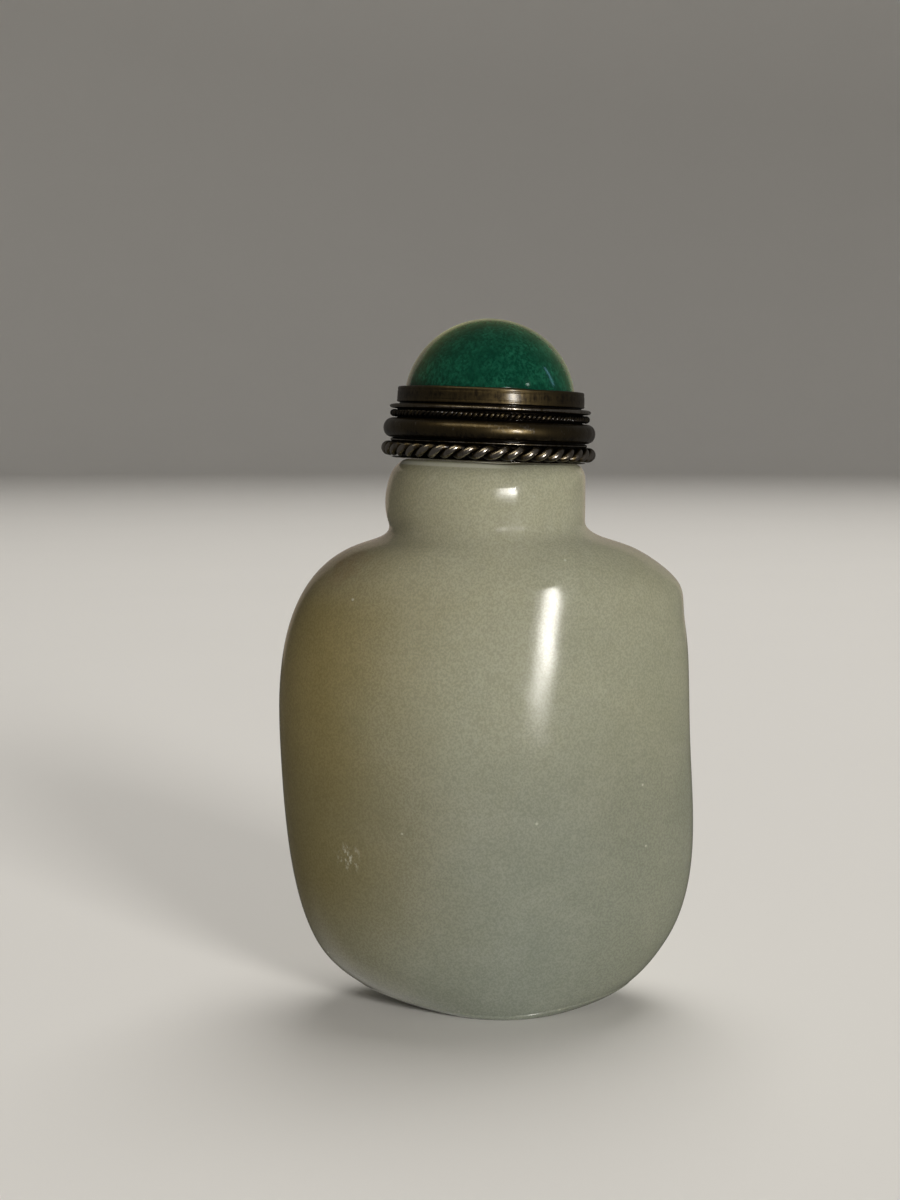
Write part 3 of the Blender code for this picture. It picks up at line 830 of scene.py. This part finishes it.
def mount_profile(sizes):
    """Radii and heights from the underside's edge up the outside to the seat: chamfered base plate, waist
    behind the rope, thin bead, half-round moulding, groove for the fine wire, fillet, and a bezel with a
    bead at its rim that closes on the stone. The corners are in millimetres."""
    named = (sizes.moulding_radius, sizes.fillet_radius, sizes.bezel_radius, sizes.bezel_top)
    moulding, fillet, bezel, top = (value / MM for value in named)
    hole, waist, root, groove, neck, seat = 7.5, 8.85, 9.5, 9.2, 9.02, 8.44
    corners = [(hole, 0.0), (9.4, 0.0), (9.7, 0.12), (waist, 0.14), (waist, 1.6)]
    corners += half_round(root, 0.3, 1.62, 1.96, 9)
    corners += half_round(root, moulding - root, 2.0, 3.94, 29, 0.8)
    corners += [(groove, 3.98), (groove, 4.82)]
    corners += half_round(9.3, fillet - 9.3, 4.84, 5.34, 13, 0.6)
    corners += [(neck, 5.36), (neck, 5.46), (bezel, 5.5), (bezel, 5.74)]
    corners += [(bezel - 0.05, 5.78), (bezel - 0.01, 5.83), (bezel - 0.05, 6.62)]
    corners += [(bezel - 0.11, 6.67), (bezel - 0.06, 6.74), (bezel - 0.07, top - 0.12)]
    corners += [(bezel - 0.16, top), (8.6, top + 0.03), (seat, top - 0.06), (seat, 5.8), (hole, 5.8)]
    return rounded_profile(np.array(corners) * MM, 0.055 * MM, 2)


def exposure_and_shade(profile, reach):
    """How exposed each point of a profile is, from 0 in a recess to 1 on a ridge: a half, plus its radius
    less the mean radius within that many points, over half a millimetre, and less a share where the
    profile's outward side looks down, which paints shade under the mouldings."""
    radius = np.pad(profile[:, 0], reach, mode="edge")
    mean = np.convolve(radius, np.full(2 * reach + 1, 1.0 / (2 * reach + 1)), "valid")
    ahead = np.gradient(profile, axis=0)
    down = np.maximum(0.0, ahead[:, 0] / np.linalg.norm(ahead, axis=1))
    return np.clip(0.5 + (profile[:, 0] - mean) / (0.5 * MM) - 0.3 * down, 0.0, 1.0)


class SNUFF_OT_mount(Operator):
    """Builds the stepped brass mount that holds the dome"""

    bl_idname = "snuff.build_mount"
    bl_label = "Build mount"

    def execute(self, context):
        sizes = context.scene.stopper_sizes
        profile = mount_profile(sizes)
        grid = turned_rows(profile, 256)
        dents = 0.03 * MM * waver(grid, 6 * MM, 5) + 0.009 * MM * waver(grid, 1.7 * MM, 6) - 0.02 * MM
        grid = along_normals(grid, dents)
        # The rub is lower on faces that look down: painted shade under the mouldings.
        rub = np.repeat(exposure_and_shade(profile, 14)[:, None], grid.shape[1], axis=1)
        brass = brass_material("Aged brass", context.scene.metal_colours, 0.25, 0.75, 0.27)
        poles = [(0.0, 0.0, 0.0), (0.0, 0.0, profile[-1, 1])]
        mount = stopper_piece("stopper_mount", sizes, [grid], brass, poles, rub=rub)
        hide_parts("stopper_collar")
        return {"FINISHED"}


STRANDS = 2


def twisted_ring(radius, height, strand, turns, sections, sides, unevenness, seed):
    """Strands twisted round a ring. A strand's centre runs round a small circle, on which the strands just
    touch each other, and which is carried round the big one. The strand is a tube about that path: its
    section's arms point away from the rope's middle and, square to that and to the path, to the side.
    Returns the tubes and how far each point stands out from the rope's middle, away from the collar."""
    way = np.linspace(0.0, FULL_TURN, turns * sections, endpoint=False)[:, None]
    outward = np.concatenate([np.cos(way), np.sin(way), np.zeros_like(way)], axis=1)
    up = np.array([0.0, 0.0, 1.0])
    side = np.linspace(0.0, FULL_TURN, sides, endpoint=False)[None, :, None]
    circle = 1.02 * strand / math.sin(math.pi / STRANDS)
    tubes, rubs = [], []
    for start in np.arange(STRANDS) * (FULL_TURN / STRANDS):
        wobble = unevenness * (waver(outward, 0.9, seed) + waver(outward, 0.23, seed + 1))[:, None]
        twist = turns * way + start + 0.12 * wobble
        away = np.cos(twist) * outward + np.sin(twist) * up
        path = (radius + 0.04 * strand * wobble) * outward + height * up + circle * away
        ahead = np.roll(path, -1, axis=0) - np.roll(path, 1, axis=0)
        ahead /= np.linalg.norm(ahead, axis=1, keepdims=True)
        sideways = np.cross(ahead, away)
        swelling = 0.05 * unevenness * waver(outward + start, 0.31, seed + 2)
        thickness = strand * (1.0 + swelling)[:, None, None]
        arms = np.cos(side) * away[:, None, :] + np.sin(side) * sideways[:, None, :]
        tubes.append(path[:, None, :] + thickness * arms)
        rise = np.linalg.norm(tubes[-1][..., :2], axis=-1) - radius
        rubs.append(smooth_step(-0.2, 1.0, rise / (circle + strand)))
    return tubes, np.concatenate([rub.ravel() for rub in rubs])


class SNUFF_OT_wires(Operator):
    """Builds the rope ring and the fine twisted wire of the mount"""

    bl_idname = "snuff.build_wires"
    bl_label = "Build wires"

    def execute(self, context):
        sizes = context.scene.stopper_sizes
        colours = context.scene.metal_colours
        rope = (sizes.rope_radius, sizes.rope_height, sizes.rope_strand, sizes.rope_turns, 24, 16, 1.0, 40)
        wire = (sizes.wire_radius, sizes.wire_height, sizes.wire_strand, sizes.wire_turns, 12, 10, 5.0, 60)
        rows = (
            ("stopper_rope", "Rope brass", rope, "stopper_rope_ring", (0.3, 0.65, 0.26)),
            ("stopper_twisted_wire", "Fine brass", wire, "stopper_fine_wire", (0.85, 1.2, 0.3)),
        )
        for name, finish, measures, node, wear in rows:
            tubes, rub = twisted_ring(*measures)
            brass = brass_material(finish, colours, *wear)
            ring = stopper_piece(name, sizes, tubes, brass, closed_rows=True, rub=rub)
            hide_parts(node)
        return {"FINISHED"}


class SNUFF_OT_cork(Operator):
    """Builds the cork under the mount"""

    bl_idname = "snuff.build_cork"
    bl_label = "Build cork"

    def execute(self, context):
        sizes = context.scene.stopper_sizes
        top, tip = -0.3 * MM, -0.3 * MM - sizes.cork_length
        radius = sizes.cork_radius
        corners = [(1.0 * MM, tip), (radius - 0.7 * MM, tip), (radius - 0.3 * MM, tip + 0.4 * MM)]
        corners += [(radius, top - 0.1 * MM), (radius - 0.1 * MM, top), (1.0 * MM, top)]
        grid = turned_rows(rounded_profile(corners, 0.12 * MM, 2), 96)
        pits = 0.16 * MM * smooth_step(0.35, 0.9, waver(grid, 0.9 * MM, 31))
        grid = along_normals(grid, -pits)
        material = cork_material(context.scene.metal_colours)
        poles = [(0.0, 0.0, tip), (0.0, 0.0, top)]
        cork = stopper_piece("cork_plug", sizes, [grid], material, poles)
        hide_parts("stopper_cork")
        return {"FINISHED"}


# --- The stage ---

LIGHT_DISTANCE = 1.6
LIGHTS_AIM = np.array([0.0, 0.0, 40 * MM])
WARM_WHITE = (1.0, 0.97, 0.92)
METAL_PIECES = ("stopper_mount", "stopper_rope", "stopper_twisted_wire")
CAMERA_PLACE = (-3.69 * MM, -180.0 * MM, 58.0 * MM)
CAMERA_PITCH = math.radians(-5.42)
CAMERA_LENS = 54.09  # on a sensor 36 wide


def add_light(name, azimuth, elevation, power, size, tint=WARM_WHITE, shows="everywhere", reach=None):
    """Adds a rectangular light that looks at the bottle's middle from that many degrees round, from -Y
    towards +X, and up. It may show in diffuse light or in gloss alone, and reach some pieces alone."""
    data = bpy.data.lights.new(name, "AREA")
    data.shape = "RECTANGLE"
    data.energy = power
    data.color = tint
    data.size, data.size_y = size
    light = bpy.data.objects.new(name, data)
    turn, climb = math.radians(azimuth), math.radians(elevation)
    away = [math.sin(turn) * math.cos(climb), -math.cos(turn) * math.cos(climb), math.sin(climb)]
    light.location = LIGHTS_AIM + LIGHT_DISTANCE * np.array(away)
    light.rotation_euler = (QUARTER_TURN - climb, 0.0, turn)
    light.visible_camera = False
    light.visible_diffuse = shows != "gloss"
    light.visible_glossy = shows != "diffuse"
    light.light_linking.receiver_collection = reach
    bpy.context.scene.collection.objects.link(light)
    return light


def fade_light(light, *fades):
    """Makes a light fade by the product of smooth steps over its own width X and height Y, which run from 0
    to 1. Each fade gives the axis, where the light is out and where it is full."""
    light.data.use_nodes = True
    tree = light.data.node_tree
    own = tree.nodes.new("ShaderNodeNewGeometry").outputs["Parametric"]
    across = add_node("SeparateXYZ", {0: own})
    strength = times(*(ramp(across[axis], out, full) for axis, out, full in fades))
    fill(tree.nodes["Emission"], {"Strength": strength})


def light_links(name, pieces, state):
    """A collection that says which pieces a light reaches, or which it leaves out."""
    collection = bpy.data.collections.new(name)
    for piece in pieces:
        collection.objects.link(bpy.data.objects[piece])
    for entry in collection.collection_objects:
        entry.light_linking.link_state = state
    return collection


class SNUFF_OT_stage(Operator):
    """Builds the pale floor, the soft lights and the camera"""

    bl_idname = "snuff.build_stage"
    bl_label = "Build stage"

    def execute(self, context):
        scene = context.scene
        stage = scene.stage_settings
        self.add_floor(stage)
        self.add_room_light(scene, stage)
        self.add_lights(stage)
        self.add_camera(scene)
        return {"FINISHED"}

    def add_floor(self, stage):
        """A round floor that sweeps up into a wall: a flat radius, a quarter circle and a straight."""
        flat, sweep, wall, columns = 2.2, 0.8, 1.0, 96
        turn = np.linspace(0.0, QUARTER_TURN, 24)
        radius = np.concatenate([[0.05, 0.5, 1.2], flat + sweep * np.sin(turn), [flat + sweep]])
        height = np.concatenate([[0.0, 0.0, 0.0], sweep * (1.0 - np.cos(turn)), [sweep + wall]])
        profile = np.stack([radius, height], axis=1)[::-1]
        points = turned_rows(profile, columns).reshape(-1, 3)
        faces = grid_faces(len(profile), columns, 0, False).tolist()
        middle = list(range(len(points) - columns, len(points)))
        mesh = bpy.data.meshes.new("floor")
        mesh.from_pydata(points.tolist(), [], [*faces, middle])
        mesh.shade_smooth()
        material, tree, shader = new_material("Pale floor")
        cloud = noise(object_place(tree), 0.12, detail=3.0)
        pale = stage.floor_colour
        tone = mix(ramp(cloud, 0.3, 0.7, 0.0, 0.04), pale, tuple(0.8 * c for c in pale))
        fill(shader, {"Base Color": tone, "Roughness": 0.8, "Specular IOR Level": 0.0})
        mesh.materials.append(material)
        floor = bpy.data.objects.new("floor", mesh)
        bpy.context.scene.collection.objects.link(floor)
        floor.visible_glossy = False

    def add_room_light(self, scene, stage):
        world = bpy.data.worlds.new("Room")
        world.use_nodes = True
        background = world.node_tree.nodes["Background"]
        fill(background, {"Color": (1.0, 0.95, 0.88, 1.0), "Strength": stage.room_light})
        scene.world = world
        scene.view_settings.view_transform = "Standard"

    def add_lights(self, stage):
        """The key and the light behind give diffuse light, the top one lights the floor alone, and the rest
        are panels that show in the gloss of the pieces that they reach."""
        panel, back = stage.window_power, stage.back_power
        not_floor = light_links("All but the floor", ["floor"], "EXCLUDE")
        floor = light_links("Floor alone", ["floor"], "INCLUDE")
        not_metal = light_links("Not the metal", METAL_PIECES, "EXCLUDE")
        on_other = {"shows": "gloss", "reach": not_metal}
        on_metal = {"shows": "gloss", "reach": light_links("Metal alone", METAL_PIECES, "INCLUDE")}
        on_bottle = {"shows": "gloss", "reach": light_links("Bottle alone", ["jade_bottle"], "INCLUDE")}
        on_dome = {"shows": "gloss", "reach": light_links("Dome alone", ["stopper_dome"], "INCLUDE")}

        key = add_light("Key", 30.0, 16.0, stage.key_power, (0.4, 0.4), shows="diffuse")
        window = add_light("Window", 21.2, 2.3, 0.82 * panel, (0.22, 0.68), **on_other)
        metal_window = add_light("Metal_window", 25.5, 1.3, 1.55 * panel, (0.26, 0.74), **on_metal)
        add_light("Metal_top", 335.0, 52.0, 0.3 * panel, (1.6, 0.6), (1.0, 0.88, 0.6), **on_metal)
        below = add_light("Below", 230.0, -60.0, 0.5 * panel, (2.2, 2.2), **on_bottle)
        add_light("Glint", 53.8, 22.9, 0.02 * panel, (0.06, 0.06), (0.8, 1.0, 0.9), **on_dome)
        add_light("Side_window", 99.3, 25.0, 0.03 * panel, (0.06, 0.5), (0.35, 0.62, 1.0), **on_dome)
        add_light("Overhead", 192.0, 64.0, 0.15 * panel, (0.5, 0.5), **on_bottle)
        add_light("Back", 150.0, 25.0, back, (0.8, 0.8), shows="diffuse", reach=not_floor)
        add_light("Back_panel", 180.0, 12.0, 0.12 * back, (2.2, 1.0), (1.0, 0.8, 0.62), **on_other)
        add_light("Top", 160.0, 68.0, stage.top_power, (1.2, 1.2), reach=floor)

        fade_light(window, ("X", 0.0, 0.45), ("Y", 0.0, 0.47))
        fade_light(metal_window, ("X", 0.0, 0.7), ("Y", 0.0, 0.56))
        fade_light(below, ("X", 0.0, 0.4), ("X", 1.0, 0.6), ("Y", 0.0, 0.4), ("Y", 1.0, 0.6))
        key.light_linking.blocker_collection = not_metal
        for light in (window, metal_window, below):
            light.light_linking.blocker_collection = not_floor

    def add_camera(self, scene):
        data = bpy.data.cameras.new("Camera")
        data.sensor_width = 36.0
        data.lens = CAMERA_LENS
        data.clip_start = 0.01
        data.clip_end = 20.0
        camera = bpy.data.objects.new("Camera", data)
        camera.location = CAMERA_PLACE
        camera.rotation_euler = (QUARTER_TURN + CAMERA_PITCH, 0.0, 0.0)
        scene.collection.objects.link(camera)
        scene.camera = camera


# --- Panel and registration ---


class SNUFF_PT_panel(Panel):
    """Lists the sizes, the colours and the buttons that build each piece"""

    bl_idname = "SNUFF_PT_panel"
    bl_label = "Snuff Bottle"
    bl_space_type = "VIEW_3D"
    bl_region_type = "UI"
    bl_category = "Snuff Bottle"

    def draw(self, context):
        for operator in OPERATORS:
            self.layout.operator(operator.bl_idname)
        for key in SETTINGS:
            group = getattr(context.scene, key)
            box = self.layout.box()
            for name in group.__annotations__:
                box.prop(group, name)


SETTINGS = {
    "bottle_sizes": BottleSizes,
    "stopper_sizes": StopperSizes,
    "stone_colours": StoneColours,
    "metal_colours": MetalColours,
    "stage_settings": StageSettings,
}
OPERATORS = (SNUFF_OT_bottle, SNUFF_OT_dome, SNUFF_OT_mount, SNUFF_OT_wires, SNUFF_OT_cork, SNUFF_OT_stage)


def register():
    for group in SETTINGS.values():
        bpy.utils.register_class(group)
    for key, group in SETTINGS.items():
        setattr(bpy.types.Scene, key, PointerProperty(type=group))
    for operator in OPERATORS:
        bpy.utils.register_class(operator)
    bpy.utils.register_class(SNUFF_PT_panel)


def unregister():
    bpy.utils.unregister_class(SNUFF_PT_panel)
    for operator in reversed(OPERATORS):
        bpy.utils.unregister_class(operator)
    for key, group in reversed(SETTINGS.items()):
        delattr(bpy.types.Scene, key)
        bpy.utils.unregister_class(group)


def main():
    register()
    bpy.ops.snuff.build_bottle()
    bpy.ops.snuff.build_dome()
    bpy.ops.snuff.build_mount()
    bpy.ops.snuff.build_wires()
    bpy.ops.snuff.build_cork()
    bpy.ops.snuff.build_stage()


if __name__ == "__main__":
    main()
